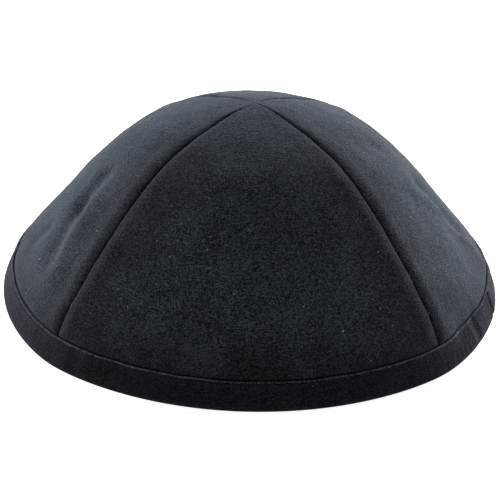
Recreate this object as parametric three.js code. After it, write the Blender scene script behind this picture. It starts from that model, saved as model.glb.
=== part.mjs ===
// A domed skullcap of black suede: four gore panels that meet at the crown, and a band folded over the rim.
// Millimetres, +Z up. The rim rests on z = 0 with its centre at the origin, and the front panel faces -Y.
import * as THREE from "three";

// Driving sizes
const RIM_DIAMETER = 170; // across the outside of the band
const CROWN_HEIGHT = 62; // from the floor to the top of the crown
const CROWN_LEAN = 0.4; // how far the soft crown has slumped towards +X at its top
const WALL = 1.3; // suede of a panel
const BAND_WALL = 1.3; // suede of the band
const BAND_WIDTH = 9; // outside leg of the band, from its fold to the groove
const BAND_TURN = 12; // inside leg of the band, from its fold to its free edge
const BAND_PROUD = 0.45; // how far the band stands in front of the panels
const REST_WIDTH = 2.6; // underside of the fold, flattened by its own weight
const FOLD_CORNER = 1; // how far the fold curls in before it touches the floor
const RIM_ROUND = 7.5; // how far each side of a seam the rim's corner is rounded off, as a bent band is
const SEAM_MARGIN = 6; // edge of a panel that is turned in and sewn down
const SEAM_WIDTH = 2; // how far from a seam the suede starts to roll in
const SEAM_DROP = 1; // how deep it rolls in
const GROOVE_WIDTH = 1.5; // how far above the band the panels start to roll in
const GAP = 0.3; // clearance left between the pieces

// Crown from the rim to the top: rise is a share of the height, reach a share of the rim radius, and flat says
// how far a panel's level section goes from a round one (0) towards a straight one (1).
const SECTIONS = [
  { rise: 0.0, reach: 1.0, flat: 0.1 },
  { rise: 0.07, reach: 0.971, flat: 0.08 },
  { rise: 0.15, reach: 0.947, flat: 0.1 },
  { rise: 0.27, reach: 0.897, flat: 0.19 },
  { rise: 0.41, reach: 0.814, flat: 0.23 },
  { rise: 0.56, reach: 0.709, flat: 0.21 },
  { rise: 0.71, reach: 0.586, flat: 0.17 },
  { rise: 0.85, reach: 0.433, flat: 0.09 },
  { rise: 0.95, reach: 0.233, flat: 0.05 },
  { rise: 1.0, reach: 0.0, flat: 0.0 },
];

// Panels: facing is the angle in degrees from -Y towards +X.
const PANELS = [
  { name: "panel_front", facing: 0 },
  { name: "panel_right", facing: 90 },
  { name: "panel_back", facing: 180 },
  { name: "panel_left", facing: 270 },
];

// Soft folds and dents, each along a line on the crown. Angles are in degrees like facing, rise is a share of
// the height, width and depth are in millimetres, and a negative depth is a ridge.
const FOLDS = [
  { fold: "left valley, upper", angle: -71.5, rise: 0.68, toAngle: -70, toRise: 0.54, width: 4, depth: 1.5 },
  { fold: "left valley, lower", angle: -70, rise: 0.54, toAngle: -63, toRise: 0.34, width: 4.5, depth: 1.1 },
  { fold: "left ridge", angle: -64, rise: 0.6, toAngle: -58, toRise: 0.34, width: 5.5, depth: -0.9 },
  { fold: "left pinch", angle: -78, rise: 0.37, toAngle: -80, toRise: 0.29, width: 3, depth: 0.8 },
  { fold: "right hollow", angle: 72, rise: 0.85, toAngle: 80, toRise: 0.83, width: 5, depth: 0.9 },
  { fold: "right ridge", angle: 74.5, rise: 0.62, toAngle: 82, toRise: 0.48, width: 3.8, depth: -0.7 },
  { fold: "right valley", angle: 86, rise: 0.6, toAngle: 88, toRise: 0.34, width: 4, depth: 1.3 },
  { fold: "right dimple", angle: 78, rise: 0.38, toAngle: 82, toRise: 0.34, width: 3.2, depth: 0.7 },
  { fold: "right swell", angle: 86, rise: 0.29, toAngle: 85, toRise: 0.18, width: 5, depth: -0.7 },
  { fold: "rim dent", angle: 61, rise: 0.13, toAngle: 54, toRise: 0.13, width: 4, depth: 1.0 },
  { fold: "back hollow", angle: 160, rise: 0.6, toAngle: 172, toRise: 0.42, width: 7, depth: 1.2 },
  { fold: "back swell", angle: 200, rise: 0.5, toAngle: 206, toRise: 0.34, width: 8, depth: -0.8 },
];

// Fineness of the faceted surface
const PANEL_ROWS = 15; // rows of a panel between its groove and its tip
const PANEL_COLUMNS = 12; // strips of a panel between its two turned-in edges

const RIM_RADIUS = RIM_DIAMETER / 2;
const QUARTER = Math.PI / 4; // from the middle of a panel to its seam
const STEPS = 600;

// Value of a column of SECTIONS at a place from 0 (rim) to 1 (top), on a Catmull-Rom curve. The rows are
// mirrored past the top, so that the crown is level there.
function along(column, place) {
  const last = SECTIONS.length - 1;
  const sign = column === "reach" ? -1 : 1;
  const row = (i) => {
    if (i < 0) return 2 * SECTIONS[0][column] - SECTIONS[1][column];
    if (i > last) return sign * SECTIONS[2 * last - i][column];
    return SECTIONS[i][column];
  };
  const x = Math.min(Math.max(place, 0), 1) * last;
  const i = Math.min(Math.floor(x), last - 1);
  const t = x - i;
  const [a, b, c, d] = [row(i - 1), row(i), row(i + 1), row(i + 2)];
  return b + 0.5 * t * (c - a + t * (2 * a - 5 * b + 4 * c - d + t * (3 * (b - c) + d - a)));
}

// Length of the crown's line from the rim, measured up a seam, at equal steps of the place
const LENGTHS = [0];
for (let i = 1; i <= STEPS; i++) {
  const [p, q] = [(i - 1) / STEPS, i / STEPS];
  const out = (along("reach", q) - along("reach", p)) * RIM_RADIUS;
  const up = (along("rise", q) - along("rise", p)) * CROWN_HEIGHT;
  LENGTHS.push(LENGTHS[i - 1] + Math.hypot(out, up));
}
const CROWN_LENGTH = LENGTHS[STEPS];

// Place that lies a given length up from the rim
function placeAt(length) {
  let i = 1;
  while (i < STEPS && LENGTHS[i] < length) i++;
  return (i - 1 + (length - LENGTHS[i - 1]) / (LENGTHS[i] - LENGTHS[i - 1])) / STEPS;
}

// Place at which the crown has risen to a share of its height
function placeOfRise(rise) {
  let [low, high] = [0, 1];
  for (let i = 0; i < 40; i++) {
    const middle = (low + high) / 2;
    if (along("rise", middle) < rise) low = middle;
    else high = middle;
  }
  return (low + high) / 2;
}

// Outside of the crown without its folds: radius and height at an angle and a place. The corner at a seam is
// rounded at the rim, and grows as sharp as a seam within the lowest third of the height.
function smooth(angle, place) {
  const across = angle - Math.round(angle / (2 * QUARTER)) * 2 * QUARTER;
  const flat = along("flat", place);
  const rise = along("rise", place);
  const round = (RIM_ROUND / RIM_RADIUS) * (1 - THREE.MathUtils.smoothstep(rise, 0.05, 0.3));
  const toSeam = Math.hypot(QUARTER - Math.abs(across), round);
  const section = 1 - flat + (flat * Math.cos(QUARTER)) / Math.cos(QUARTER - toSeam);
  return { r: along("reach", place) * RIM_RADIUS * section, z: rise * CROWN_HEIGHT };
}

// Place in space of a radius, an angle and a height, with the crown's lean
function point(angle, r, z) {
  const lean = (CROWN_LEAN * z) / CROWN_HEIGHT;
  return new THREE.Vector3(r * Math.sin(angle) + lean, -r * Math.cos(angle), z);
}

const radians = THREE.MathUtils.degToRad;
const creases = FOLDS.map((fold) => {
  const from = smooth(radians(fold.angle), placeOfRise(fold.rise));
  const to = smooth(radians(fold.toAngle), placeOfRise(fold.toRise));
  const line = new THREE.Line3(
    point(radians(fold.angle), from.r, from.z),
    point(radians(fold.toAngle), to.r, to.z),
  );
  return { line, width: fold.width, depth: fold.depth };
});

// Depth of all the folds together at a point of the outside. They fade out where the rim meets the floor.
function foldDepth(p) {
  const near = new THREE.Vector3();
  const fade = THREE.MathUtils.smoothstep(p.z, 0.02 * CROWN_HEIGHT, 0.12 * CROWN_HEIGHT);
  let depth = 0;
  for (const { line, width, depth: most } of creases) {
    line.closestPointToPoint(p, true, near);
    depth += most * Math.exp(-((near.distanceTo(p) / width) ** 2));
  }
  return depth * fade;
}

// Radius and height of a point some depth inside the crown, at an angle and a length up from the rim
function inside(angle, length, depth) {
  const here = smooth(angle, placeAt(length));
  const low = smooth(angle, placeAt(Math.max(length - 0.4, 0)));
  const high = smooth(angle, placeAt(Math.min(length + 0.4, CROWN_LENGTH)));
  const run = Math.hypot(high.r - low.r, high.z - low.z);
  const total = depth + foldDepth(point(angle, here.r, here.z));
  return {
    r: here.r - (total * (high.z - low.z)) / run,
    z: here.z + (total * (high.r - low.r)) / run,
  };
}

// Depths of the layers: the panels pass inside the outside leg of the band
const PANEL_UNDER = BAND_WALL - BAND_PROUD + GAP;
const TURN_UNDER = PANEL_UNDER + WALL + GAP;
const TURN_ABOVE = WALL + GAP;
const CHANNEL_FLOOR = BAND_WALL + 0.1;
const SEAM_STEP = SEAM_MARGIN * 1.15; // where the turned-in edge has thinned out to nothing

// Closed mesh over a grid of points: each row joins the next, and the columns close into a ring
function skin(rows, closedRows) {
  const points = [];
  const ids = rows.map((row) => row.map((p) => points.push(p.x, p.y, p.z) / 3 - 1));
  const faces = [];
  const count = rows[0].length;
  const last = closedRows ? rows.length : rows.length - 1;
  for (let i = 0; i < last; i++) {
    const [a, b] = [ids[i], ids[(i + 1) % rows.length]];
    for (let j = 0; j < count; j++) {
      const k = (j + 1) % count;
      faces.push(a[j], a[k], b[k], a[j], b[k], b[j]);
    }
  }
  return { points, ids, faces };
}

function meshOf(name, points, faces) {
  const geometry = new THREE.BufferGeometry();
  geometry.setAttribute("position", new THREE.Float32BufferAttribute(points, 3));
  geometry.setIndex(faces);
  geometry.computeVertexNormals();
  const suede = new THREE.MeshStandardMaterial({ color: 0x1d2126, roughness: 0.95, metalness: 0 });
  suede.name = name === "rim_band" ? "band_suede" : "panel_suede";
  const mesh = new THREE.Mesh(geometry, suede);
  mesh.name = name;
  return mesh;
}

// Distances of a panel's columns from its seam, at a radius: the turned-in edge first, then even strips. They
// draw together where the panel narrows.
function columnsAt(radius) {
  const half = radius * QUARTER;
  const squeeze = Math.min(1, half / (2 * SEAM_STEP));
  const edge = [0, 0.2 * SEAM_WIDTH, 0.55 * SEAM_WIDTH, 1.1 * SEAM_WIDTH, SEAM_MARGIN, SEAM_STEP];
  const left = edge.map((d) => ({ from: "left", distance: d * squeeze, plain: d }));
  const right = edge.map((d) => ({ from: "right", distance: d * squeeze, plain: d })).reverse();
  const middle = [];
  for (let i = 1; i < PANEL_COLUMNS; i++) middle.push({ from: "middle", share: i / PANEL_COLUMNS, plain: half });
  return { list: [...left, ...middle, ...right], start: SEAM_STEP * squeeze, half };
}

// Angle of a column from the middle of its panel, at a radius
function columnAngle(column, columns, radius) {
  const side = QUARTER - Math.asin(Math.min(0.7, GAP / 2 / radius));
  const most = side - (columns.start / columns.half) * QUARTER;
  if (column.from === "middle") return -most + 2 * most * column.share;
  const angle = side - (column.distance / columns.half) * QUARTER;
  return column.from === "left" ? -angle : angle;
}

// How far the suede rolls in beside a seam, as a quarter of a circle
function rollIn(distance, width, drop) {
  if (distance >= width) return 0;
  return drop * (1 - Math.sqrt(1 - (1 - distance / width) ** 2));
}

// Thickness of the turned-in edge under a panel: one more wall beside the seams and all over the tip
function turnedIn(distance, radius) {
  const atSeam = distance <= SEAM_MARGIN ? 1 : 0;
  const atTip = 1 - THREE.MathUtils.smoothstep(radius, 1.6 * SEAM_MARGIN, 2.4 * SEAM_MARGIN);
  return WALL * Math.max(atSeam, atTip);
}

// Lengths up from the rim that the panels and the band share, so that their facets lie side by side
const PANEL_END = BAND_WALL + GAP + 0.27 * BAND_WIDTH;
const GROOVE = BAND_WIDTH - 0.35 * GROOVE_WIDTH;
const GROOVE_TOP = BAND_WIDTH + 1.35 * GROOVE_WIDTH;

// Lengths up from the rim of a panel's rows, with the depth of the outside there
function panelRows() {
  const rows = [
    { length: PANEL_END, depth: PANEL_UNDER },
    { length: GROOVE, depth: PANEL_UNDER },
    { length: BAND_WIDTH + 0.3 * GROOVE_WIDTH, depth: PANEL_UNDER * 0.75 },
    { length: BAND_WIDTH + 0.7 * GROOVE_WIDTH, depth: PANEL_UNDER * 0.25 },
    { length: GROOVE_TOP, depth: 0 },
  ];
  const first = GROOVE_TOP;
  const tip = CROWN_LENGTH - 2.5 * SEAM_WIDTH;
  for (let i = 1; i <= PANEL_ROWS; i++) rows.push({ length: first + ((tip - first) * i) / PANEL_ROWS, depth: 0 });
  rows.push({ length: CROWN_LENGTH - 0.9 * SEAM_WIDTH, depth: 0 });
  return rows;
}

function makePanel(panel) {
  const middle = radians(panel.facing);
  const rings = panelRows().map(({ length, depth }) => {
    const radius = smooth(middle + QUARTER, placeAt(length)).r;
    const columns = columnsAt(radius);
    const outer = [];
    const inner = [];
    for (const column of columns.list) {
      const angle = middle + columnAngle(column, columns, radius);
      const roll = rollIn(column.plain, SEAM_WIDTH, SEAM_DROP);
      const lay = WALL + turnedIn(column.plain, radius);
      const out = inside(angle, length, Math.max(depth, roll));
      const back = inside(angle, length, depth + lay);
      outer.push(point(angle, out.r, out.z));
      inner.push(point(angle, back.r, back.z));
    }
    return [...outer, ...inner.reverse()];
  });
  const { points, ids, faces } = skin(rings, false);

  // The hidden end inside the band, joined across strip by strip
  const count = ids[0].length;
  const cap = (ring, turned) => {
    for (let j = 0; j < count / 2 - 1; j++) {
      const [a, b, c, d] = [ring[j], ring[j + 1], ring[count - 2 - j], ring[count - 1 - j]];
      if (turned) faces.push(a, b, c, a, c, d);
      else faces.push(a, c, b, a, d, c);
    }
  };
  cap(ids[0], false);

  // The tip, where the last ring draws in to one upright edge on the middle line
  const tipLength = CROWN_LENGTH - GAP;
  const top = inside(middle, tipLength, SEAM_DROP * 0.8);
  const under = inside(middle, tipLength, 2 * WALL);
  const addPoint = (p) => points.push(p.x, p.y, p.z) / 3 - 1;
  const [t, u] = [addPoint(point(middle, GAP, top.z)), addPoint(point(middle, GAP, under.z))];
  const ring = ids[ids.length - 1];
  for (let j = 0; j < count; j++) {
    const k = (j + 1) % count;
    const onTop = j < count / 2 - 1;
    if (j === count / 2 - 1) faces.push(ring[j], ring[k], u, ring[j], u, t);
    else if (j === count - 1) faces.push(ring[j], ring[k], t, ring[j], t, u);
    else faces.push(ring[j], ring[k], onTop ? t : u);
  }
  return meshOf(panel.name, points, faces);
}

// Outline of the folded band at an angle. The list reads up the outside leg, down into the channel that holds
// the panels, up the inside leg, over its free edge and back down to the flattened fold.
function bandOutline(angle, extra) {
  const rim = smooth(angle, 0);
  const at = (length, depth) => inside(angle, length, depth);
  const level = (depth, z) => {
    const low = at(0.15 * BAND_WIDTH, depth);
    const high = at(0.5 * BAND_WIDTH, depth);
    const share = (z - low.z) / (high.z - low.z);
    return { r: low.r + (high.r - low.r) * share, z };
  };
  const leg = TURN_UNDER + extra;
  const above = TURN_ABOVE + extra;
  const rest = rim.r - FOLD_CORNER;
  const heel = at(0.38 * BAND_WIDTH, leg + BAND_WALL);
  return [
    { r: rest, z: 0 },
    { r: rim.r - 0.3 * FOLD_CORNER, z: 0.3 * FOLD_CORNER },
    at(0.11 * BAND_WIDTH, -BAND_PROUD),
    at(0.5 * BAND_WIDTH, -BAND_PROUD),
    at(BAND_WIDTH - 0.8 * GROOVE_WIDTH, -BAND_PROUD),
    at(BAND_WIDTH - 0.3 * GROOVE_WIDTH, -0.4 * BAND_PROUD),
    at(BAND_WIDTH, BAND_WALL - BAND_PROUD - 0.35 * BAND_WALL),
    at(GROOVE, BAND_WALL - BAND_PROUD),
    at(PANEL_END, BAND_WALL - BAND_PROUD),
    level(BAND_WALL - BAND_PROUD, CHANNEL_FLOOR),
    level(leg, CHANNEL_FLOOR),
    at(PANEL_END, leg),
    at(GROOVE, leg),
    at(GROOVE_TOP, above),
    at(BAND_TURN, above),
    at(BAND_TURN, above + BAND_WALL),
    at(GROOVE_TOP, above + BAND_WALL),
    at(BAND_WIDTH - 0.6 * GROOVE_WIDTH, leg + BAND_WALL),
    heel,
    { r: heel.r + 0.38 * (rest - REST_WIDTH - heel.r), z: 0.35 * heel.z },
    { r: rest - REST_WIDTH, z: 0 },
  ];
}

function makeBand() {
  const rows = [];
  for (const panel of PANELS) {
    const middle = radians(panel.facing);
    const radius = smooth(middle + QUARTER, 0).r;
    const columns = columnsAt(radius);
    for (const column of columns.list) {
      if (column.plain > 0 && column.plain < SEAM_MARGIN) continue;
      const seam = column.plain === 0;
      if (seam && column.from === "right") continue;
      const clear = { ...column, distance: column.distance + GAP };
      const angle = middle + (seam ? -QUARTER : columnAngle(clear, columns, radius));
      const extra = column.plain <= SEAM_MARGIN ? WALL : 0;
      rows.push(bandOutline(angle, extra).map(({ r, z }) => point(angle, r, z)).reverse());
    }
  }
  const { points, faces } = skin(rows, true);
  return meshOf("rim_band", points, faces);
}

const cap = new THREE.Group();
cap.name = "suede_kippah";
for (const panel of PANELS) cap.add(makePanel(panel));
cap.add(makeBand());

export default cap;
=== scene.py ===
# %% [markdown]
# # A suede skullcap
# A kippah is a shallow cap cut from four triangular gores. The gores are sewn edge to edge, so that their
# points meet at the crown, and a strip of the same suede is folded over the raw rim. The solid model is
# loaded first and stays as it is. Each of its plain solids is then replaced by a finely shaped piece.

# %% Load the solid model
import math
import bpy
import numpy as np
from mathutils import Matrix, Vector, noise


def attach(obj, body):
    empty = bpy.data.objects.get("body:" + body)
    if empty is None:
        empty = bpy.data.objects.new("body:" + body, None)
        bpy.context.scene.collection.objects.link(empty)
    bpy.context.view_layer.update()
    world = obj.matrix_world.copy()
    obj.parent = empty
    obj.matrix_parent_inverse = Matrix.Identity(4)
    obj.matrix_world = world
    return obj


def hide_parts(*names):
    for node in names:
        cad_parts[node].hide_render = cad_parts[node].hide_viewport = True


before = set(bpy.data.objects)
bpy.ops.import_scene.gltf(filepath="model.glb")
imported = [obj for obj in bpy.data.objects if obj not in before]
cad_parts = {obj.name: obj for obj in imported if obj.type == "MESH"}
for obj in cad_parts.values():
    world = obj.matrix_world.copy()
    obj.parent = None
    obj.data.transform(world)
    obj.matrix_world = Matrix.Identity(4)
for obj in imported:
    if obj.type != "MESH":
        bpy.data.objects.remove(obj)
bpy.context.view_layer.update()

# %% [markdown]
# The cap's sizes are written once, in millimetres, as a pattern cutter would note them. The same numbers
# made the solid model, so the soft pieces land on it without any fitting.

# %% Sizes of the cap
MM = 0.001
RIM_RADIUS = 85.0
CROWN_HEIGHT = 62.0
CROWN_LEAN = 0.4
WALL = 1.3
BAND_WALL = 1.3
BAND_WIDTH = 9.0
BAND_TURN = 12.0
BAND_PROUD = 0.45
REST_WIDTH = 2.6
FOLD_CORNER = 1.0
RIM_ROUND = 7.5
SEAM_MARGIN = 6.0
SEAM_WIDTH = 2.0
SEAM_DROP = 1.0
GROOVE_WIDTH = 1.5
LAYER_GAP = 0.3
QUARTER = math.pi / 4

# Each row is one level of the crown: how high it is, how far out it reaches, and how flat its sides are.
SECTIONS = np.array([
    # rise, reach, flat
    (0.00, 1.000, 0.10),
    (0.07, 0.971, 0.08),
    (0.15, 0.947, 0.10),
    (0.27, 0.897, 0.19),
    (0.41, 0.814, 0.23),
    (0.56, 0.709, 0.21),
    (0.71, 0.586, 0.17),
    (0.85, 0.433, 0.09),
    (0.95, 0.233, 0.05),
    (1.00, 0.000, 0.00),
])
RISE, REACH, FLAT = 0, 1, 2

PANELS = {"panel_front": 0, "panel_right": 90, "panel_back": 180, "panel_left": 270}

# Folds and dents of the soft shell. Angles run from the front towards the right, in degrees. Rise is a share
# of the height, width and depth are millimetres, and a negative depth stands up as a ridge.
FOLDS = [
    # angle, rise, to angle, to rise, width, depth
    (-71.5, 0.68, -70.0, 0.54, 4.0, 1.5),
    (-70.0, 0.54, -63.0, 0.34, 4.5, 1.1),
    (-64.0, 0.60, -58.0, 0.34, 5.5, -0.9),
    (-78.0, 0.37, -80.0, 0.29, 3.0, 0.8),
    (72.0, 0.85, 80.0, 0.83, 5.0, 0.9),
    (74.5, 0.62, 82.0, 0.48, 3.8, -0.7),
    (86.0, 0.60, 88.0, 0.34, 4.0, 1.3),
    (78.0, 0.38, 82.0, 0.34, 3.2, 0.7),
    (86.0, 0.29, 85.0, 0.18, 5.0, -0.7),
    (61.0, 0.13, 54.0, 0.13, 4.0, 1.0),
    (160.0, 0.60, 172.0, 0.42, 7.0, 1.2),
    (200.0, 0.50, 206.0, 0.34, 8.0, -0.8),
]
print(len(SECTIONS), "sections and", len(FOLDS), "folds")

# %% [markdown]
# The crown's line from rim to top is a smooth curve through the sections. A Catmull-Rom curve passes through
# every row, and mirroring the rows past the top keeps the crown level there instead of pointed.


# %% The crown's line
def along(column, place):
    """Value of a column of SECTIONS at a place from 0, the rim, to 1, the top."""
    values = SECTIONS[:, column]
    sign = -1 if column == REACH else 1
    rows = np.concatenate([[2 * values[0] - values[1]], values, [sign * values[-2], sign * values[-3]]])
    x = np.clip(place, 0, 1) * (len(values) - 1)
    i = np.minimum(x.astype(int), len(values) - 2)
    t = x - i
    a, b, c, d = rows[i], rows[i + 1], rows[i + 2], rows[i + 3]
    return b + 0.5 * t * (c - a + t * (2 * a - 5 * b + 4 * c - d + t * (3 * (b - c) + d - a)))


places = np.linspace(0, 1, 2001)
steps = np.hypot(np.diff(along(REACH, places)) * RIM_RADIUS, np.diff(along(RISE, places)) * CROWN_HEIGHT)
lengths = np.concatenate([[0], np.cumsum(steps)])
CROWN_LENGTH = lengths[-1]
print("from rim to top along a seam:", round(CROWN_LENGTH, 1), "mm")


def ease(value, start, end):
    """0 up to a start and 1 from an end on, with a soft passage between them."""
    share = np.clip((value - start) / (end - start), 0, 1)
    return share * share * (3 - 2 * share)


def smooth(angle, length):
    """Radius and height of the unfolded crown, at an angle and a length up from the rim."""
    place = np.interp(length, lengths, places)
    across = angle - np.round(angle / (2 * QUARTER)) * 2 * QUARTER
    flat, rise = along(FLAT, place), along(RISE, place)
    # A band bent round the rim can't turn a corner, so the corners at the seams are rounded there
    rounding = RIM_ROUND / RIM_RADIUS * (1 - ease(rise, 0.05, 0.30))
    to_seam = np.hypot(QUARTER - np.abs(across), rounding)
    section = 1 - flat + flat * math.cos(QUARTER) / np.cos(QUARTER - to_seam)
    return along(REACH, place) * RIM_RADIUS * section, rise * CROWN_HEIGHT


def point(angle, radius, height):
    """Place in space, with the lean of the soft crown towards its right."""
    lean = CROWN_LEAN * height / CROWN_HEIGHT
    return np.stack([radius * np.sin(angle) + lean, -radius * np.cos(angle), height], -1)


# %% [markdown]
# Suede without a stiffener keeps the dents it was packed with. Each fold is a line on the crown with a soft
# bell-shaped section, and all of them fade out where the rim is pressed on the table.


# %% Folds of the soft shell
SLOPE_STEP = 0.4
RIPPLES = [
    # depth and size in millimetres, seed
    (0.16, 13.0, 1),
    (0.07, 5.0, 2),
]


def rise_to_length(rise):
    return np.interp(rise, along(RISE, places), lengths)


def fold_depth(p):
    """Depth in millimetres of all the folds together, at points of the crown."""
    total = np.zeros(p.shape[:-1])
    for angle, rise, to_angle, to_rise, width, depth in FOLDS:
        start, end = [
            point(math.radians(a), *smooth(math.radians(a), rise_to_length(h)))
            for a, h in ((angle, rise), (to_angle, to_rise))
        ]
        line = end - start
        share = np.clip(((p - start) @ line) / (line @ line), 0, 1)
        near = np.linalg.norm(p - start - share[..., None] * line, axis=-1)
        total += depth * np.exp(-((near / width) ** 2))
    return total * ease(p[..., 2] / CROWN_HEIGHT, 0.02, 0.12)


def wander(p, size, seed):
    """Smooth noise from about -1 to 1 at points in millimetres, with lumps of a given size."""
    flat = p.reshape(-1, 3) / size
    values = [noise.noise(Vector((x + 17.3 * seed, y, z))) for x, y, z in flat]
    return np.array(values).reshape(p.shape[:-1]) * 1.6


def slope(angle, length):
    """How far the crown runs outwards and upwards there, for each millimetre of its length."""
    low = smooth(angle, np.maximum(length - SLOPE_STEP, 0))
    high = smooth(angle, np.minimum(length + SLOPE_STEP, CROWN_LENGTH))
    out, up = high[0] - low[0], high[1] - low[1]
    run = np.hypot(out, up)
    return out / run, up / run


def inside(angle, length, depth):
    """Radius and height some depth inside the crown, with its folds and the slow ripple of limp suede."""
    radius, height = smooth(angle, length)
    out, up = slope(angle, length)
    base = point(angle, radius, height)
    ripple = sum(deep * wander(base, size, seed) for deep, size, seed in RIPPLES)
    # The rim is pressed on the table, so the ripple starts a little above it
    calm = np.clip((height - 2.0) / 8.0, 0, 1)
    total = depth + fold_depth(base) + calm * ripple
    return radius - total * up, height + total * out


# %% [markdown]
# One helper turns a grid of points into a closed mesh piece. It also stores a UV map in metres of cloth, so
# that the nap and the streaks of the suede follow the cut of each piece.


# %% Make a mesh piece from points and faces
def mesh_piece(name, points, faces, uv=None):
    mesh = bpy.data.meshes.new(name)
    mesh.from_pydata((np.asarray(points) * MM).tolist(), [], faces)
    mesh.validate()
    mesh.polygons.foreach_set("use_smooth", np.ones(len(mesh.polygons), dtype=bool))
    if uv is not None:
        layer = mesh.uv_layers.new(name="cloth")
        corners = np.zeros(len(mesh.loops), dtype=np.int32)
        mesh.loops.foreach_get("vertex_index", corners)
        layer.data.foreach_set("uv", (np.asarray(uv)[corners] * MM).ravel())
    mesh.update()
    piece = bpy.data.objects.new(name, mesh)
    bpy.context.scene.collection.objects.link(piece)
    return piece


def grid_faces(ids):
    """Quads between neighbouring rows of point numbers. Each row closes on itself."""
    right = np.roll(ids, -1, axis=1)
    return np.stack([ids[:-1], right[:-1], right[1:], ids[1:]], -1).reshape(-1, 4).tolist()


# %% [markdown]
# A sewn seam is two edges rolled in against each other. From outside it is a narrow dark crease between two
# soft shoulders, and the thread pulls it a little deeper at each stitch. The doubled edge under the suede
# lifts a faint ridge on both sides. On the inside the margins lie open as flat strips.

# %% The shape of a panel beside its seams
STITCH_PITCH = 2.9
EDGE_STEPS = np.array(
    [0, 0.07, 0.17, 0.3, 0.46, 0.66, 0.9, 1.2, 1.55, 2, 2.6, 3.3, 4.2, 5.2, 5.85, 6, 6.15, 7.2]
)
MIDDLE_COLUMNS = 96
CORNER_ROUND = 4.5
SWING_SIZE = 7.0
PUCKER_DEPTH, PUCKER_WIDTH = 0.10, 2.2
RIDGE_HEIGHT, RIDGE_PLACE, RIDGE_WIDTH = 0.28, 3.4, 2.3
# Half the gap between two panels, and a distance from the seam at which nothing of it is left
SEAM_GAP = 0.02
FAR = 30.0


def roll_in(distance, width, drop):
    """Depth of an edge that rolls in like a quarter of an ellipse."""
    share = np.clip(1 - distance / width, 0, 1)
    return drop * (1 - np.sqrt(1 - share**2))


def seam_shape(distance, length, seed):
    """Depth beside a seam: the rolled edge, its puckers and the ridge of the doubled margin."""
    swing = [noise.noise(Vector((v / SWING_SIZE, seed, 0.0))) for v in length.ravel()]
    swing = np.array(swing).reshape(length.shape)
    pull = 0.5 + 0.5 * np.cos(2 * math.pi * (length / STITCH_PITCH + 0.6 * swing))
    width = SEAM_WIDTH * (0.55 + 0.35 * swing + 0.14 * pull)
    pucker = PUCKER_DEPTH * pull * np.exp(-((distance / PUCKER_WIDTH) ** 2))
    ridge = RIDGE_HEIGHT * np.exp(-(((distance - RIDGE_PLACE) / RIDGE_WIDTH) ** 2))
    # The crease is deep near the crown, where four points crowd together, and half closed by the nap below
    drop = SEAM_DROP * (0.42 + 0.4 * np.clip(length / CROWN_LENGTH, 0, 1) + 0.3 * swing)
    return roll_in(distance, width, drop) + pucker - ridge


def soft_corner(real, length):
    """Depth that rounds the corner between two panels, where limp suede can't turn sharply."""
    place = np.interp(length, lengths, places)
    return along(FLAT, place) * (np.hypot(real, CORNER_ROUND) - real)


def panel_columns(radius):
    """Angles of the columns from a panel's middle, and how far from the seam they should be and are."""
    half = radius * QUARTER
    squeeze = np.minimum(1, half / (2 * EDGE_STEPS[-1]))
    side = QUARTER - np.arcsin(np.minimum(0.7, SEAM_GAP / radius))
    edge = side[:, None] - EDGE_STEPS * (squeeze / half)[:, None] * QUARTER
    middle = edge[:, -1:] * np.linspace(-1, 1, MIDDLE_COLUMNS + 1)[1:-1]
    angles = np.concatenate([-edge, middle, edge[:, ::-1]], axis=1)
    distance = np.concatenate([EDGE_STEPS, np.full(MIDDLE_COLUMNS - 1, FAR), EDGE_STEPS[::-1]])
    real = (side[:, None] - np.abs(angles)) * radius[:, None]
    return angles, distance, real


# %% [markdown]
# A panel is one grid: the outside from seam to seam, then the inside back again, closed at the hidden lower
# edge and at the tip. Rows lie closer together in the groove above the band, where the suede turns sharply.
# Each point also keeps its distance from the nearest seam, as an attribute that the material reads later to
# paint shade beside the seams.

# %% Sew the four panels
PANEL_UNDER = BAND_WALL - BAND_PROUD + LAYER_GAP
PANEL_END = BAND_WALL + LAYER_GAP + 0.27 * BAND_WIDTH
# The margins run together near the crown. Inside the first radius the whole tip is doubled.
TIP_DOUBLED, TIP_OPEN = 9.6, 14.4
groove_steps = np.array([-1, -0.5, -0.2, 0, 0.15, 0.3, 0.45, 0.6, 0.8, 1.0, 1.3, 1.7])
ROWS = np.concatenate([
    [PANEL_END, PANEL_END + 1.5],
    BAND_WIDTH + GROOVE_WIDTH * groove_steps,
    np.linspace(BAND_WIDTH + 3.2, CROWN_LENGTH - 1.2, 100),
    CROWN_LENGTH - np.array([0.8, 0.5, 0.25, 0.08]),
])


def panel_depth(length):
    """How deep the outside of a panel lies where it turns in under the band."""
    share = np.clip((BAND_WIDTH + 1.7 * GROOVE_WIDTH - length) / (1.9 * GROOVE_WIDTH), 0, 1)
    return (PANEL_UNDER + 0.1) * (1 - np.sqrt(1 - share**2 * 0.999))


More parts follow.
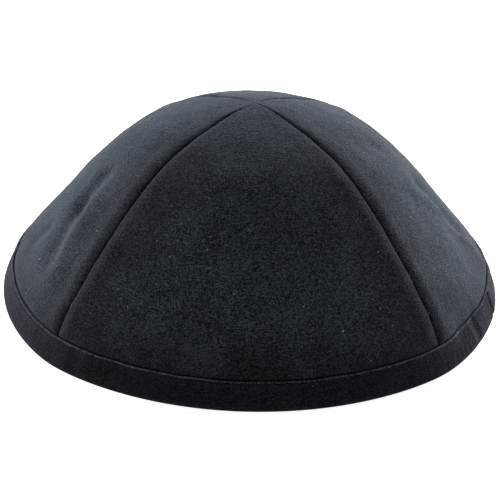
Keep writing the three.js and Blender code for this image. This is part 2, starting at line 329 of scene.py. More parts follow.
def make_panel(name, facing):
    middle = math.radians(facing)
    corner, _ = smooth(np.full(len(ROWS), middle + QUARTER), ROWS)
    angles, distance, real = panel_columns(corner)
    half = angles.shape[1]
    length = np.repeat(ROWS[:, None], half, axis=1)
    shape = seam_shape(distance, length, facing / 37.0) + soft_corner(real, length)
    turned = np.maximum(distance <= SEAM_MARGIN, 1 - ease(corner, TIP_DOUBLED, TIP_OPEN)[:, None])
    under = panel_depth(length)
    outer = point(middle + angles, *inside(middle + angles, length, np.maximum(under, shape)))
    inner = point(middle + angles, *inside(middle + angles, length, under + WALL * (1 + turned)))
    rings = np.concatenate([outer, inner[:, ::-1]], axis=1)
    ids = np.arange(2 * half * len(ROWS)).reshape(len(ROWS), 2 * half)
    faces = [quad[::-1] for quad in grid_faces(ids)]
    # Quads from the outside to the inside close the lower edge and the tip
    for ring, turn in ((ids[0], 1), (ids[-1], -1)):
        near, far = ring[:half], ring[half:][::-1]
        faces += [[near[j], near[j + 1], far[j + 1], far[j]][::turn] for j in range(half - 1)]
    cloth = np.stack([angles * corner[:, None], length], -1)
    uv = np.concatenate([cloth, cloth[:, ::-1]], axis=1).reshape(-1, 2)
    piece = mesh_piece(name + "_suede", rings.reshape(-1, 3), faces, uv)
    from_seam = np.concatenate([real, real[:, ::-1]], axis=1).ravel() * MM
    piece.data.attributes.new("from_seam", "FLOAT", "POINT").data.foreach_set("value", from_seam)
    print(piece.name, len(piece.data.polygons), "faces")
    return piece


panels = {name: make_panel(name, facing) for name, facing in PANELS.items()}

# %% [markdown]
# The band is one strip folded lengthwise over the raw lower edges of the panels. Its section is a hook: up
# the outside, down into the channel that grips the panels, up the inside and over the free edge. Cutting the
# corners of that outline twice gives the soft roll of thick suede, and the underside stays flat on the table.

# %% Fold the band over the rim
BAND_STEPS = 780
# The outline has 28 corners, and cutting them twice gives 4 columns of faces for each
BAND_COLUMNS = 112
TUCKS = [
    # angle in degrees, width and depth in millimetres
    (72.5, 1.2, 0.55),
    (60.0, 1.6, 0.30),
    (-38.0, 1.8, 0.22),
    (-128.0, 1.4, 0.45),
    (171.0, 1.6, 0.35),
]
TURN_UNDER = PANEL_UNDER + WALL + LAYER_GAP
TURN_ABOVE = WALL + LAYER_GAP
CHANNEL_FLOOR = BAND_WALL + 0.1


def seam_bulge(angle):
    """1 where the band crosses the doubled margins of a seam, 0 between the seams."""
    across = np.abs(angle - (np.round(angle / (2 * QUARTER) - 0.5) + 0.5) * 2 * QUARTER) * RIM_RADIUS
    return 1 - ease(across, SEAM_MARGIN - 0.2, SEAM_MARGIN + 1.6)


def cut_corners(outline):
    """Twice as many corners, each a quarter of a side away from the old one."""
    following = np.roll(outline, -1, axis=1)
    pair = np.stack([0.75 * outline + 0.25 * following, 0.25 * outline + 0.75 * following], axis=2)
    return pair.reshape(outline.shape[0], -1, outline.shape[2])


def band_outline(angle):
    """Radius and height of the corners of the band's section, at each angle."""
    extra = WALL * seam_bulge(angle)
    rim, _ = smooth(angle, np.zeros_like(angle))
    turn = np.stack([RIM_RADIUS * np.sin(angle), RIM_RADIUS * np.cos(angle), 0 * angle], -1)
    wave = wander(turn, 11.0, 3)
    pull = 0.5 + 0.5 * np.cos(angle * round(2 * math.pi * RIM_RADIUS / STITCH_PITCH) + 1.5 * wave)
    proud = BAND_PROUD + 0.10 * wave - 0.05 * pull + 0.06 * wander(turn, 4.0, 5)
    for where, width, depth in TUCKS:
        aside = np.abs(np.angle(np.exp(1j * (angle - math.radians(where))))) * RIM_RADIUS / width
        proud = proud - depth * (np.exp(-(aside**2)) - 0.45 * np.exp(-((aside - 2.2) ** 2)))
    top = BAND_WIDTH + 0.16 * wander(turn, 8.0, 4)

    def at(length, depth):
        return np.stack(inside(angle, np.broadcast_to(length, angle.shape), depth), -1)

    def spot(radius, height=0.0):
        return np.stack(np.broadcast_arrays(radius, height), -1)

    def level(depth, height):
        low, high = at(0.15 * BAND_WIDTH, depth), at(0.5 * BAND_WIDTH, depth)
        share = (height - low[:, 1]) / (high[:, 1] - low[:, 1])
        return spot(low[:, 0] + (high[:, 0] - low[:, 0]) * share, height)

    leg, above = TURN_UNDER + extra, TURN_ABOVE + extra
    outer_leg = BAND_WALL - BAND_PROUD
    rest = rim - FOLD_CORNER
    heel = at(0.38 * BAND_WIDTH, leg + BAND_WALL)
    groove = BAND_WIDTH - 0.35 * GROOVE_WIDTH
    groove_top = BAND_WIDTH + 1.35 * GROOVE_WIDTH
    rows = [
        # From the table up the outside
        spot(rest),
        spot(rim - 0.2 * FOLD_CORNER, 0.15),
        at(0.13 * BAND_WIDTH, -proud),
        at(0.3 * BAND_WIDTH, -proud - 0.08),
        at(0.5 * BAND_WIDTH, -proud - 0.08),
        at(0.72 * BAND_WIDTH, -proud + 0.1),
        # Over the top fold and into the groove
        at(top - 0.7 * GROOVE_WIDTH, -proud - 0.12),
        at(top - 0.2 * GROOVE_WIDTH, -0.9 * proud),
        at(top + 0.06 * GROOVE_WIDTH, 0.05),
        at(top + 0.02 * GROOVE_WIDTH, outer_leg),
        # Down the channel on the outside of the panels, and up on their inside
        at(groove, outer_leg),
        at(PANEL_END, outer_leg),
        level(outer_leg, CHANNEL_FLOOR),
        level(leg, CHANNEL_FLOOR),
        at(PANEL_END, leg),
        at(groove, leg),
        at(groove_top, above),
        # Round the free edge
        at(BAND_TURN - 0.1, above),
        at(BAND_TURN, above + 0.1),
        at(BAND_TURN, above + BAND_WALL - 0.15),
        at(BAND_TURN - 0.25, above + BAND_WALL),
        # Down the inside to the table, drawn in where it is stitched
        at(groove_top, above + BAND_WALL),
        at(BAND_WIDTH + 0.3, 0.5 * (leg + above) + BAND_WALL - 0.25 * pull),
        at(BAND_WIDTH - 0.6 * GROOVE_WIDTH, leg + BAND_WALL + 0.05),
        at(0.6 * BAND_WIDTH, leg + BAND_WALL + 0.1),
        heel,
        spot(heel[:, 0] + 0.38 * (rest - REST_WIDTH - heel[:, 0]), 0.35 * heel[:, 1]),
        spot(rest - REST_WIDTH),
    ]
    return cut_corners(cut_corners(np.stack(rows, axis=1)))


def close_cloth_map(piece, around, across):
    """Carries the cloth map on past its end, in the faces that join the last row to the first."""
    layer = piece.data.uv_layers["cloth"].data
    flat = np.zeros(2 * len(layer), dtype=np.float32)
    layer.foreach_get("uv", flat)
    corners = flat.reshape(-1, 4, 2)
    for axis, size in ((0, around * MM), (1, across * MM)):
        value = corners[:, :, axis]
        wraps = np.ptp(value, axis=1, keepdims=True) > 0.5 * size
        behind = value < value.min(axis=1, keepdims=True) + 0.25 * size
        corners[:, :, axis] = np.where(wraps & behind, value + size, value)
    layer.foreach_set("uv", corners.ravel())


def make_band():
    angle = math.pi + np.linspace(0, 2 * math.pi, BAND_STEPS, endpoint=False)
    outline = band_outline(angle)
    rings = point(angle[:, None], outline[..., 0], outline[..., 1])
    ids = np.arange(BAND_STEPS * BAND_COLUMNS).reshape(BAND_STEPS, BAND_COLUMNS)
    faces = grid_faces(np.concatenate([ids, ids[:1]]))
    run = np.linalg.norm(np.diff(outline[0], axis=0), axis=1)
    across = np.concatenate([[0], np.cumsum(run)])
    uv = np.stack(np.broadcast_arrays((angle * RIM_RADIUS)[:, None], across), -1)
    piece = mesh_piece("rim_band_suede", rings.reshape(-1, 3), faces, uv.reshape(-1, 2))
    whole = across[-1] + np.linalg.norm(outline[0, -1] - outline[0, 0])
    close_cloth_map(piece, 2 * math.pi * RIM_RADIUS, whole)
    print(piece.name, len(piece.data.polygons), "faces,", round(whole, 1), "mm round its section")
    return piece


band = make_band()

# %% [markdown]
# Stitches repeat along a line, and loose lint lies scattered on the nap, so Geometry Nodes make both. Each
# tree copies one short bowed thread. The first lays it end to end on a curve, turned to the curve and to the
# cloth, and the second drops it on points, turned any way. Sizes are named inputs. The result is a mesh.


# %% Helpers that add a node
def add_node(tree, kind, links=None, values=None, **settings):
    """Adds a node with its settings, its socket values and the sockets that feed it."""
    node = tree.nodes.new(kind)
    for key, value in settings.items():
        setattr(node, key, value)
    for key, value in (values or {}).items():
        node.inputs[key].default_value = value
    for key, source in (links or {}).items():
        tree.links.new(source, node.inputs[key])
    return node


def maths(tree, operation, *terms):
    """The result of a Math node, whose terms are numbers or sockets."""
    node = add_node(tree, "ShaderNodeMath", operation=operation)
    for socket, term in zip(node.inputs, terms):
        if isinstance(term, (int, float)):
            socket.default_value = term
        else:
            tree.links.new(term, socket)
    return node.outputs[0]


# %% A tree with named sizes, and the bowed thread in it
THREAD_STEPS = 6
THREAD_SIDES = 6


def thread_tree(name, sizes):
    """A new tree whose inputs are sizes in metres, a seed and a material, and the sockets of those inputs."""
    tree = bpy.data.node_groups.new(name, "GeometryNodeTree")
    face = tree.interface
    face.new_socket("Geometry", in_out="INPUT", socket_type="NodeSocketGeometry")
    for label, size in sizes.items():
        face.new_socket(label, in_out="INPUT", socket_type="NodeSocketFloat").default_value = size * MM
    face.new_socket("Seed", in_out="INPUT", socket_type="NodeSocketInt").default_value = 7
    face.new_socket("Material", in_out="INPUT", socket_type="NodeSocketMaterial")
    face.new_socket("Geometry", in_out="OUTPUT", socket_type="NodeSocketGeometry")
    return tree, tree.nodes.new("NodeGroupInput").outputs


def bowed_thread(tree, given):
    """One short thread along X, which rises by Bow and swings aside by Curl at its middle."""
    half = maths(tree, "MULTIPLY", given["Thread length"], 0.5)
    back = maths(tree, "MULTIPLY", half, -1.0)
    sink = maths(tree, "MULTIPLY", given["Bow"], -1.0)
    radius = maths(tree, "MULTIPLY", given["Thread"], 0.5)
    start = add_node(tree, "ShaderNodeCombineXYZ", {"X": back, "Z": sink})
    middle = add_node(tree, "ShaderNodeCombineXYZ", {"Y": given["Curl"], "Z": given["Bow"]})
    end = add_node(tree, "ShaderNodeCombineXYZ", {"X": half, "Z": sink})
    ends = {"Start": start.outputs[0], "Middle": middle.outputs[0], "End": end.outputs[0]}
    bow = add_node(tree, "GeometryNodeCurveQuadraticBezier", ends, {"Resolution": THREAD_STEPS})
    ring = add_node(
        tree, "GeometryNodeCurvePrimitiveCircle", {"Radius": radius}, {"Resolution": THREAD_SIDES}
    )
    swept = {"Curve": bow.outputs[0], "Profile Curve": ring.outputs[0]}
    return add_node(tree, "GeometryNodeCurveToMesh", swept, {"Fill Caps": True})


def twisted(tree, given, rotation, least, most):
    """A rotation with a random turn added, in radians about its own axes."""
    turn = add_node(
        tree,
        "FunctionNodeRandomValue",
        {"Seed": given["Seed"]},
        {"Min": least, "Max": most},
        data_type="FLOAT_VECTOR",
    )
    euler = add_node(tree, "FunctionNodeEulerToRotation", {"Euler": turn.outputs["Value"]})
    return add_node(
        tree,
        "FunctionNodeRotateRotation",
        {"Rotation": rotation, "Rotate By": euler.outputs[0]},
        rotation_space="LOCAL",
    )


def finish_tree(tree, given, laid):
    """Turns the copies into one mesh of one material."""
    real = add_node(tree, "GeometryNodeRealizeInstances", {"Geometry": laid.outputs[0]})
    coloured = add_node(
        tree, "GeometryNodeSetMaterial", {"Geometry": real.outputs[0], "Material": given["Material"]}
    )
    result = tree.nodes.new("NodeGroupOutput")
    tree.links.new(coloured.outputs[0], result.inputs[0])
    return tree


# %% The tree that lays stitches along a line
def way_out(tree):
    """The way the cloth faces at each point, as run_tree stores it."""
    stored = {"Name": "out"}
    named = add_node(tree, "GeometryNodeInputNamedAttribute", values=stored, data_type="FLOAT_VECTOR")
    return named.outputs["Attribute"]


def stitch_tree():
    sizes = {"Pitch": STITCH_PITCH, "Thread length": 2.3, "Thread": 0.38, "Bow": 0.22, "Curl": 0.0}
    tree, given = thread_tree("stitch_line", sizes)
    line = add_node(tree, "GeometryNodeMeshToCurve", {"Mesh": given["Geometry"]})
    every = {"Curve": line.outputs[0], "Length": given["Pitch"]}
    spaced = add_node(tree, "GeometryNodeResampleCurve", every, mode="LENGTH")
    thread = bowed_thread(tree, given)
    tangent = tree.nodes.new("GeometryNodeInputTangent")
    along_line = add_node(tree, "FunctionNodeAlignRotationToVector", {"Vector": tangent.outputs[0]}, axis="X")
    facing = add_node(
        tree,
        "FunctionNodeAlignRotationToVector",
        {"Rotation": along_line.outputs[0], "Vector": way_out(tree)},
        axis="Z",
        pivot_axis="X",
    )
    turned = twisted(tree, given, facing.outputs[0], (-0.06, -0.05, -0.10), (0.06, 0.05, 0.10))
    laid = add_node(
        tree,
        "GeometryNodeInstanceOnPoints",
        {"Points": spaced.outputs[0], "Instance": thread.outputs[0], "Rotation": turned.outputs[0]},
    )
    return finish_tree(tree, given, laid)


stitches = stitch_tree()
print("stitch tree with", len(stitches.nodes), "nodes")


# %% The tree that drops loose lint on the cloth
def lint_tree():
    tree, given = thread_tree("loose_lint", {"Thread length": 2.4, "Thread": 0.07, "Bow": 0.05, "Curl": 0.8})
    spots = add_node(tree, "GeometryNodeMeshToPoints", {"Mesh": given["Geometry"]})
    thread = bowed_thread(tree, given)
    facing = add_node(tree, "FunctionNodeAlignRotationToVector", {"Vector": way_out(tree)}, axis="Z")
    turned = twisted(tree, given, facing.outputs[0], (-0.1, -0.1, -math.pi), (0.1, 0.1, math.pi))
    # Sockets 2 and 3 are the least and the most of a plain number
    size = add_node(
        tree, "FunctionNodeRandomValue", {"Seed": given["Seed"]}, {2: 0.4, 3: 1.4}, data_type="FLOAT"
    )
    laid = add_node(
        tree,
        "GeometryNodeInstanceOnPoints",
        {
            "Points": spots.outputs[0],
            "Instance": thread.outputs[0],
            "Rotation": turned.outputs[0],
            "Scale": size.outputs[1],
        },
    )
    return finish_tree(tree, given, laid)


loose_lint = lint_tree()
print("lint tree with", len(loose_lint.nodes), "nodes")


# %% Run a tree on a line and keep its mesh
def run_tree(name, tree, line, outward, joined, values):
    """A plain mesh piece from a node tree that reads points and the way the cloth faces there.

    The points are joined as an open line, as a ring, or not at all.
    """
    count = len(line)
    edges = {
        "open": [(i, i + 1) for i in range(count - 1)],
        "ring": [(i, (i + 1) % count) for i in range(count)],
        "apart": [],
    }[joined]
    mesh = bpy.data.meshes.new(name + "_line")
    mesh.from_pydata((line * MM).tolist(), edges, [])
    ways = mesh.attributes.new("out", "FLOAT_VECTOR", "POINT")
    ways.data.foreach_set("vector", outward.ravel())
    source = bpy.data.objects.new(name + "_line", mesh)
    bpy.context.scene.collection.objects.link(source)
    modifier = source.modifiers.new("stitches", "NODES")
    modifier.node_group = tree
    for item in tree.interface.items_tree:
        if item.in_out == "INPUT" and item.name in values:
            modifier[item.identifier] = values[item.name]
    bpy.context.view_layer.update()
    evaluated = source.evaluated_get(bpy.context.evaluated_depsgraph_get())
    made = bpy.data.meshes.new_from_object(evaluated)
    made.name = name
    bpy.data.objects.remove(source)
    made.polygons.foreach_set("use_smooth", np.ones(len(made.polygons), dtype=bool))
    piece = bpy.data.objects.new(name, made)
    bpy.context.scene.collection.objects.link(piece)
    print(name, len(made.polygons), "faces")
    return piece


# %% [markdown]
# Two kinds of thread line show when the cap is turned over. A ladder of stitches lies in the crease of each
# seam, and one row runs round the inside leg of the band, where it was caught down through the groove. On the
# outside, a few dozen curled fibres cling to the nap, as they do on any black suede.

# %% Ways to sew a seam and the band, and to drop lint
LADDER_DEPTH = 2.15
LADDER_LENGTH = 2.2
LINT_HEIGHT = 0.04


def outward_at(angle, length):
    """Unit vectors that point out of the crown, at angles and lengths up from the rim."""
    out, up = slope(angle, length)
    return np.stack([up * np.sin(angle), -up * np.cos(angle), -out], -1)


def sew_seam(name, degrees, thread):
    length = np.linspace(BAND_WIDTH + 4.5, CROWN_LENGTH - 3.0, 400)
    angle = np.full_like(length, math.radians(degrees))
    line = point(angle, *inside(angle, length, LADDER_DEPTH))
    values = {"Material": thread, "Seed": degrees % 97, "Thread length": LADDER_LENGTH * MM}
    return run_tree(name, stitches, line, -outward_at(angle, length), "open", values)


def sew_band(thread):
    angle = np.linspace(0, 2 * math.pi, 1440, endpoint=False)
    length = np.full_like(angle, BAND_WIDTH + 0.3)
    extra = WALL * seam_bulge(angle)
    depth = 0.5 * (TURN_UNDER + TURN_ABOVE) + extra + BAND_WALL - 0.05
    line = point(angle, *inside(angle, length, depth))
    values = {"Material": thread, "Seed": 11, "Pitch": STITCH_PITCH * MM}
    return run_tree("band_stitches", stitches, line, -outward_at(angle, length), "ring", values)


def drop_lint(count, material):
    draw = np.random.default_rng(11)
    angle = draw.uniform(-math.pi, math.pi, count)
    length = BAND_WIDTH + 4 + (CROWN_LENGTH - BAND_WIDTH - 10) * (1 - np.sqrt(draw.uniform(0, 1, count)))
    spots = point(angle, *inside(angle, length, -LINT_HEIGHT))
    values = {"Material": material, "Seed": 3}
    return run_tree("loose_lint", loose_lint, spots, outward_at(angle, length), "apart", values)


# %% [markdown]
# Suede is the fleshy side of a hide, or a microfibre made to look like it, raised with an abrasive belt. The
# cut fibres stand up as a nap. They soak up light seen head on and catch it at a grazing view, so black suede
# looks almost black in front and smoky blue-grey where it curves away. A little sheen lifts those edges. The
# grain could be bump alone, but that fades where the cloth faces the light, so most of it is in the colour:
# paler tips of tufts over dark gaps, in noise of the tufts' own size.


# %% Helpers for the materials
def colour(code):
    """An sRGB hex value as the linear colour that a shader wants."""
    parts = [int(code[i : i + 2], 16) / 255 for i in (1, 3, 5)]
    return tuple(c / 12.92 if c <= 0.04045 else ((c + 0.055) / 1.055) ** 2.4 for c in parts) + (1.0,)


def per_mm(size):
    """Noise scale for lumps of a size in millimetres, on coordinates in metres."""
    return 1 / (size * MM)


def threads(pitch):
    """Wave scale for threads a pitch apart. The wave texture multiplies its scale by 20 radians."""
    return 2 * math.pi / 20 * per_mm(pitch)


def new_material(name):
    """An empty material, its node tree, and sockets with the Object coordinates and the cloth map."""
    material = bpy.data.materials.new(name)
    material.use_nodes = True
    tree = material.node_tree
    tree.nodes.clear()
    coords = tree.nodes.new("ShaderNodeTexCoord")
    return material, tree, coords.outputs["Object"], coords.outputs["UV"]


def lumps(tree, place, size, detail, rough=0.5):
    """Noise with lumps of a size in millimetres."""
    values = {"Scale": per_mm(size), "Detail": detail, "Roughness": rough}
    return add_node(tree, "ShaderNodeTexNoise", {"Vector": place}, values).outputs[0]


def streaks(tree, cloth, across_cloth, up_cloth, detail, distortion):
    """Noise drawn out on the cloth map, with one size across the cloth and one up it, in millimetres."""
    scale = {"Scale": (per_mm(across_cloth), per_mm(up_cloth), 1.0)}
    stretch = add_node(tree, "ShaderNodeMapping", {"Vector": cloth}, scale)
    values = {"Scale": 1.0, "Detail": detail, "Roughness": 0.6, "Distortion": distortion}
    return add_node(tree, "ShaderNodeTexNoise", {"Vector": stretch.outputs[0]}, values).outputs[0]


def weighted(tree, first, *others):
    """A sum of sockets, each times its weight."""
    total = maths(tree, "MULTIPLY", *first)
    for socket, weight in others:
        total = maths(tree, "MULTIPLY_ADD", socket, weight, total)
    return total


def spread(tree, value, low, high):
    """A value stretched so that low becomes 0 and high becomes 1."""
    ends = {"From Min": low, "From Max": high}
    return add_node(tree, "ShaderNodeMapRange", {"Value": value}, ends).outputs[0]


def blend(tree, factor, first, second):
    """A mix of two colours, which are sRGB hex values or sockets."""
    node = add_node(tree, "ShaderNodeMix", {"Factor": factor}, data_type="RGBA")
    for key, value in (("A", first), ("B", second)):
        if isinstance(value, str):
            node.inputs[key].default_value = colour(value)
        else:
            tree.links.new(value, node.inputs[key])
    return node.outputs["Result"]


def bumped(tree, height, strength, distance):
    """The surface's normal, bumped by a height, with the distance in millimetres."""
    values = {"Strength": strength, "Distance": distance * MM}
    return add_node(tree, "ShaderNodeBump", {"Height": height}, values).outputs[0]


def finish_material(tree, links, values):
    """The surface shader, with the sockets that feed it and its constant values, and the output."""
    shader = add_node(tree, "ShaderNodeBsdfPrincipled", links, values)
    add_node(tree, "ShaderNodeOutputMaterial", {"Surface": shader.outputs[0]})


# %% Napped suede
def suede(name, nap_colours, lint, sheen, painted_shade=False):
    dark, light, cast, fibre = nap_colours
    material, tree, place, cloth = new_material(name)

    # Nap clings together in loose clumps, which still show where the cloth is seen at a slant
    clumps = lumps(tree, place, 2.6, 2.0, 0.6)
    # Tufts of nap, about half a millimetre across
    tufts = lumps(tree, place, 0.42, 1.0, 0.8)
    # Patches where a hand has brushed the nap one way or the other
    brushed = lumps(tree, place, 9.0, 3.0, 0.55)
    # Fine crinkles, longer across the cloth than up it
    crinkle = streaks(tree, cloth, 1.3, 0.5, 2.0, 1.0)
    # Single fibres that lie flat on the nap, both ways
    flat_across = streaks(tree, cloth, 1.5, 0.36, 1.0, 0.8)
    flat_up = streaks(tree, cloth, 0.38, 1.4, 1.0, 0.8)
    fibres = maths(tree, "MAXIMUM", flat_across, flat_up)

    mottle = weighted(tree, (clumps, 0.25), (tufts, 3.0), (crinkle, 1.7), (brushed, 0.6))
    pale = blend(tree, lumps(tree, place, 1.3, 2.0), light, cast)
    nap = blend(tree, spread(tree, mottle, 2.63, 3.14), dark, pale)
    nap = blend(tree, maths(tree, "MULTIPLY", spread(tree, fibres, 0.60, 0.72), 0.5), nap, fibre)
    # Only the panels' suede gets painted shade by the groove and the seams
    if painted_shade:
        # Painted shade: the nap colour is darkest just above the groove and lightens up the crown
        up_cloth = add_node(tree, "ShaderNodeSeparateXYZ", {"Vector": cloth}).outputs["Y"]
        wavy = maths(tree, "MULTIPLY_ADD", brushed, 8.0 * MM, up_cloth)
        above_groove = spread(tree, wavy, (BAND_WIDTH + 4.0) * MM, (BAND_WIDTH + 20.0) * MM)
        groove_shade = maths(tree, "MULTIPLY_ADD", above_groove, 0.62, 0.38)
        # Painted shade beside each seam too, fading out some 26 mm from it
        from_seam = add_node(tree, "ShaderNodeAttribute", attribute_name="from_seam").outputs["Fac"]
        wavy = maths(tree, "MULTIPLY_ADD", brushed, 10.0 * MM, from_seam)
        seam_shade = maths(tree, "MULTIPLY_ADD", spread(tree, wavy, 4.0 * MM, 26.0 * MM), 0.58, 0.42)
        nap = blend(tree, maths(tree, "MULTIPLY", groove_shade, seam_shade), dark, nap)

    # Lint: pale specks of different brightness, each in its own cell of about 4 mm
    cells = add_node(
        tree,
        "ShaderNodeTexVoronoi",
        {"Vector": cloth},
        {"Scale": per_mm(4.2), "Randomness": 1.0},
        voronoi_dimensions="2D",
    )
    pick = add_node(tree, "ShaderNodeSeparateColor", {"Color": cells.outputs["Color"]})
    radius = maths(tree, "MULTIPLY_ADD", pick.outputs[2], 0.036, 0.018)
    near = maths(tree, "LESS_THAN", cells.outputs["Distance"], radius)
    chosen = maths(tree, "GREATER_THAN", pick.outputs[0], 0.75)
    bright = maths(tree, "POWER", pick.outputs[1], 3.0)
    speck = maths(tree, "MULTIPLY", maths(tree, "MULTIPLY", near, chosen), bright)
    # One speck in fifteen is a blue thread end
    tint = blend(tree, maths(tree, "GREATER_THAN", pick.outputs[0], 0.983), lint, "#3558c8")

    height = weighted(tree, (clumps, 0.5), (tufts, 1.5), (crinkle, 0.8), (fibres, 0.5))
    finish_material(
        tree,
        {"Base Color": blend(tree, speck, nap, tint), "Normal": bumped(tree, height, 0.6, 0.5)},
        {
            "Roughness": 0.92,
            "Specular IOR Level": 0.1,
            "Sheen Weight": sheen,
            "Sheen Roughness": 0.34,
            "Sheen Tint": colour("#d2e2ff"),
        },
    )
    return material


# The four colours of a nap: between its tufts, two casts of its tufts, and single fibres
panel_suede = suede(
    "black suede, napped", ("#050607", "#38474f", "#3e3e4a", "#525f66"), "#b4b9c0", 0.25, painted_shade=True
)
# The band is the same suede; its darker colours are painted shade, as the upright band gets less light
shaded_band_suede = suede("black suede, folded strip, darkened as painted shade", ("#020203", "#1b202a", "#1f202b", "#262a34"), "#4a4e55", 0.08)
# Nap crushed in the seams and the groove; its dark colours are also painted shade of the crease
crushed_and_shaded_suede = suede(
    "black suede, crushed and shaded in a seam", ("#030304", "#14171b", "#15151a", "#1c2024"), "#2a2c2f", 0.03
)
# A paler suede on the band's top fold, as a painted highlight where the fold's edge catches light
fold_highlight_suede = suede(
    "black suede, painted highlight on a fold", ("#12141a", "#566072", "#585a6e", "#687284"), "#6a6e76", 0.12
)
print("suede:", panel_suede.name, shaded_band_suede.name, crushed_and_shaded_suede.name, fold_highlight_suede.name)

# %% [markdown]
# The back of the suede is a close, dull cloth without nap. The thread is polyester, spun and dyed black, with
# a slight gloss on the strands. Lint is paler, and darker in some places than in others.


# %% The reverse of the suede, the thread and the lint
def reverse_cloth():
    material, tree, place, cloth = new_material("suede backing, close weave")
    # Threads about half a millimetre apart, drawn twice as far apart so that they show
    warp, weft = [
        add_node(
            tree,
            "ShaderNodeTexWave",
            {"Vector": cloth},
            {"Scale": threads(1.1), "Distortion": 0.6},
            bands_direction=way,
        ).outputs[1]
        for way in "XY"
    ]
    weave = maths(tree, "ADD", warp, weft)
    tone = maths(tree, "MULTIPLY_ADD", lumps(tree, place, 2.0, 5.0), 1.5, weave)
    shade = blend(tree, spread(tree, tone, 0.8, 2.6), "#17181b", "#303238")
    finish_material(
        tree,
        {"Base Color": shade, "Normal": bumped(tree, weave, 0.5, 0.12)},
        {"Roughness": 0.9, "Specular IOR Level": 0.2, "Sheen Weight": 0.15, "Sheen Roughness": 0.5},
    )
    return material


def two_tones(name, size, detail, tones, values):
    """A plain material that passes from one tone to another in lumps of a size."""
    material, tree, place, _ = new_material(name)
    finish_material(tree, {"Base Color": blend(tree, lumps(tree, place, size, detail), *tones)}, values)
    return material


backing = reverse_cloth()
gloss = {"Roughness": 0.5, "Specular IOR Level": 0.4, "Sheen Weight": 0.2}
thread = two_tones("polyester thread, spun black", 0.3, 2.0, ("#101114", "#34363c"), gloss)
fibre = two_tones("lint, pale loose fibres", 9.0, 1.0, ("#2c3136", "#7c8288"), {"Roughness": 0.8})
print("plain materials:", backing.name + ";", thread.name + ";", fibre.name)

# %% Sew the cap and drop the lint
LINT_COUNT = 90
SEAMS = {"seam_front_right": 45, "seam_back_right": 135, "seam_back_left": 225, "seam_front_left": 315}
seams = {name: sew_seam(name, degrees, thread) for name, degrees in SEAMS.items()}
band_stitches = sew_band(thread)
lint = drop_lint(LINT_COUNT, fibre)

# %% [markdown]
# Each panel takes the nap outside and on its turned-in margins, because a margin is folded over and shows its
# right side again. Only the cloth between the margins shows the backing. In the seams and in the groove above
# the band the nap is crushed flat, and its darker suede is also painted shade of the crease, wider at some
# stitches than at others. The band's top fold takes a paler suede, which is a painted highlight along its
# edge.


# %% Dress the pieces
# Band columns: crushed nap and painted shade in the groove and channel; painted highlight on the top fold
CRUSHED_SHADE_COLUMNS = slice(33, 52)
FOLD_HIGHLIGHT_COLUMNS = slice(26, 30)


def dress(piece, materials, finishes):
    """Gives a piece its materials, and each face the number of its own. Faces past the last get number 0."""
    for material in materials:
        piece.data.materials.append(material)
    whole = np.zeros(len(piece.data.polygons), dtype=np.int32)
    whole[: finishes.size] = finishes.ravel()
    piece.data.polygons.foreach_set("material_index", whole)
    print(piece.name, "faces of each finish:", np.bincount(whole).tolist())


def panel_finishes(facing):
    """For each face: 0 for the nap, 1 for the backing, 2 for crushed nap with painted crease shade."""
    steps = len(EDGE_STEPS)
    half = 2 * steps + MIDDLE_COLUMNS - 1
    finishes = np.zeros((len(ROWS) - 1, 2 * half), dtype=np.int32)
    finishes[:, half + steps - 2 : half + steps + MIDDLE_COLUMNS] = 1
    for row, length in enumerate(ROWS[:-1]):
        for side, seam in ((0, facing - 45), (1, facing + 45)):
            wobble = noise.noise(Vector((length / 3.1, seam % 360, 0.5)))
            count = int(np.searchsorted(EDGE_STEPS, 0.16 + 0.3 * wobble))
            strip = slice(0, count) if side == 0 else slice(half - 1 - count, half)
            finishes[row, strip] = 2
    # The groove rows take the crushed nap too, dark also as painted shade
    finishes[ROWS[:-1] < BAND_WIDTH + 0.25 * GROOVE_WIDTH, :half] = 2
    return finishes


for name, piece in panels.items():
    dress(piece, (panel_suede, backing, crushed_and_shaded_suede), panel_finishes(PANELS[name]))

band_finishes = np.zeros((BAND_STEPS, BAND_COLUMNS), dtype=np.int32)
band_finishes[:, CRUSHED_SHADE_COLUMNS] = 1
# Painted highlight along the band's top fold
band_finishes[:, FOLD_HIGHLIGHT_COLUMNS] = 2
dress(band, (shaded_band_suede, crushed_and_shaded_suede, fold_highlight_suede), band_finishes)

# %% [markdown]
# Each piece rides on the root body of the solid model, and where a piece stands for a plain solid, that solid
# is hidden. A gore is cut with its seam margins, and the band is a straight strip.

# %% Hang each piece on the root and hide its solid
for name, piece in panels.items():
    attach(piece, "root")
    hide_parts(name)

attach(band, "root")
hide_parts("rim_band")
for piece in [*seams.values(), band_stitches]:
    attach(piece, "root")
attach(lint, "root")

# %% [markdown]
# The camera looks at the front panel from a little above, through a short telephoto lens. It stands where the
# cap's outline, its seams and its groove fall in the right places of the picture.

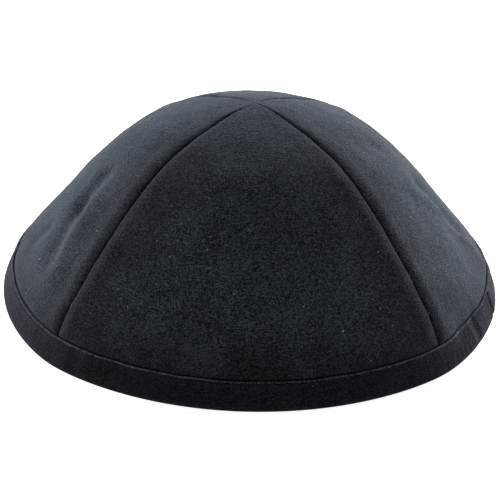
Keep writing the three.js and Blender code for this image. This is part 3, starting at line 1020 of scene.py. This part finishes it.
# %% Place the camera
ELEVATION, DISTANCE, AIM_HEIGHT, ROLL = math.radians(27.05), 415.7, 9.37, math.radians(1.45)
LENS_PIXELS, AIM_PIXEL, PICTURE = 1232.0, 250.47, 500
back = Vector((0, -math.cos(ELEVATION), math.sin(ELEVATION)))
side = Vector((1, 0, 0))
rise = back.cross(side)
right = math.cos(ROLL) * side + math.sin(ROLL) * rise
up = -math.sin(ROLL) * side + math.cos(ROLL) * rise
eye = bpy.data.cameras.new("camera")
eye.sensor_width = 36.0
eye.lens = LENS_PIXELS / PICTURE * eye.sensor_width
eye.clip_start, eye.clip_end = 0.01, 20.0
camera = bpy.data.objects.new("camera", eye)
aside = right * (AIM_PIXEL - PICTURE / 2) / LENS_PIXELS * DISTANCE
at = Vector((0, 0, AIM_HEIGHT)) + back * DISTANCE - aside
camera.matrix_world = Matrix.Translation(at * MM) @ Matrix((right, up, back)).transposed().to_4x4()
bpy.context.scene.collection.objects.link(camera)
bpy.context.scene.camera = camera
print("lens:", round(eye.lens), "mm, camera", round(at.z), "mm above the table")

# %% [markdown]
# Black suede photographs well only when the light comes from beside and behind it. Two large panels stand low
# at its sides, further back than the cap, so the nap glows where it curves away and the front stays dark. A
# weak panel hangs above the front. The white table is lit from below, which takes the shadow away at the rim.


# %% Light the studio
LIGHTS = [
    # name, place and size in metres, watts
    ("overhead", (0.0, -0.5, 0.9), (1.3, 1.1), 3.0),
    ("left_panel", (-0.83, 0.64, 0.4), (0.8, 0.8), 22.5),
    ("right_panel", (0.75, 0.92, 0.4), (0.8, 0.8), 33.0),
]
LIT_POINT = Vector((0, 0, 0.03))
HALF_TABLE = 3000


def soft_light(name, place, size, watts):
    lamp = bpy.data.lights.new(name, "AREA")
    lamp.shape = "RECTANGLE"
    lamp.size, lamp.size_y = size
    lamp.energy = watts
    light = bpy.data.objects.new(name, lamp)
    light.location = place
    light.rotation_mode = "QUATERNION"
    light.rotation_quaternion = (LIT_POINT - Vector(place)).to_track_quat("-Z", "Y")
    bpy.context.scene.collection.objects.link(light)


for light in LIGHTS:
    soft_light(*light)

world = bpy.data.worlds.new("studio")
world.use_nodes = True
sky = world.node_tree.nodes["Background"].inputs
sky["Color"].default_value = colour("#ffffff")
sky["Strength"].default_value = 0.05
bpy.context.scene.world = world
bpy.context.scene.view_settings.view_transform = "Standard"

paper = bpy.data.materials.new("matt white paper")
paper.use_nodes = True
surface = paper.node_tree.nodes["Principled BSDF"].inputs
surface["Base Color"].default_value = colour("#f6f6f6")
surface["Roughness"].default_value = 0.9
surface["Emission Strength"].default_value = 0.8
corners = [(x * HALF_TABLE, y * HALF_TABLE, 0) for x, y in ((-1, -1), (1, -1), (1, 1), (-1, 1))]
table = mesh_piece("table", corners, [(0, 1, 2, 3)])
table.data.materials.append(paper)
print("studio:", len(LIGHTS), "lights over a white table")
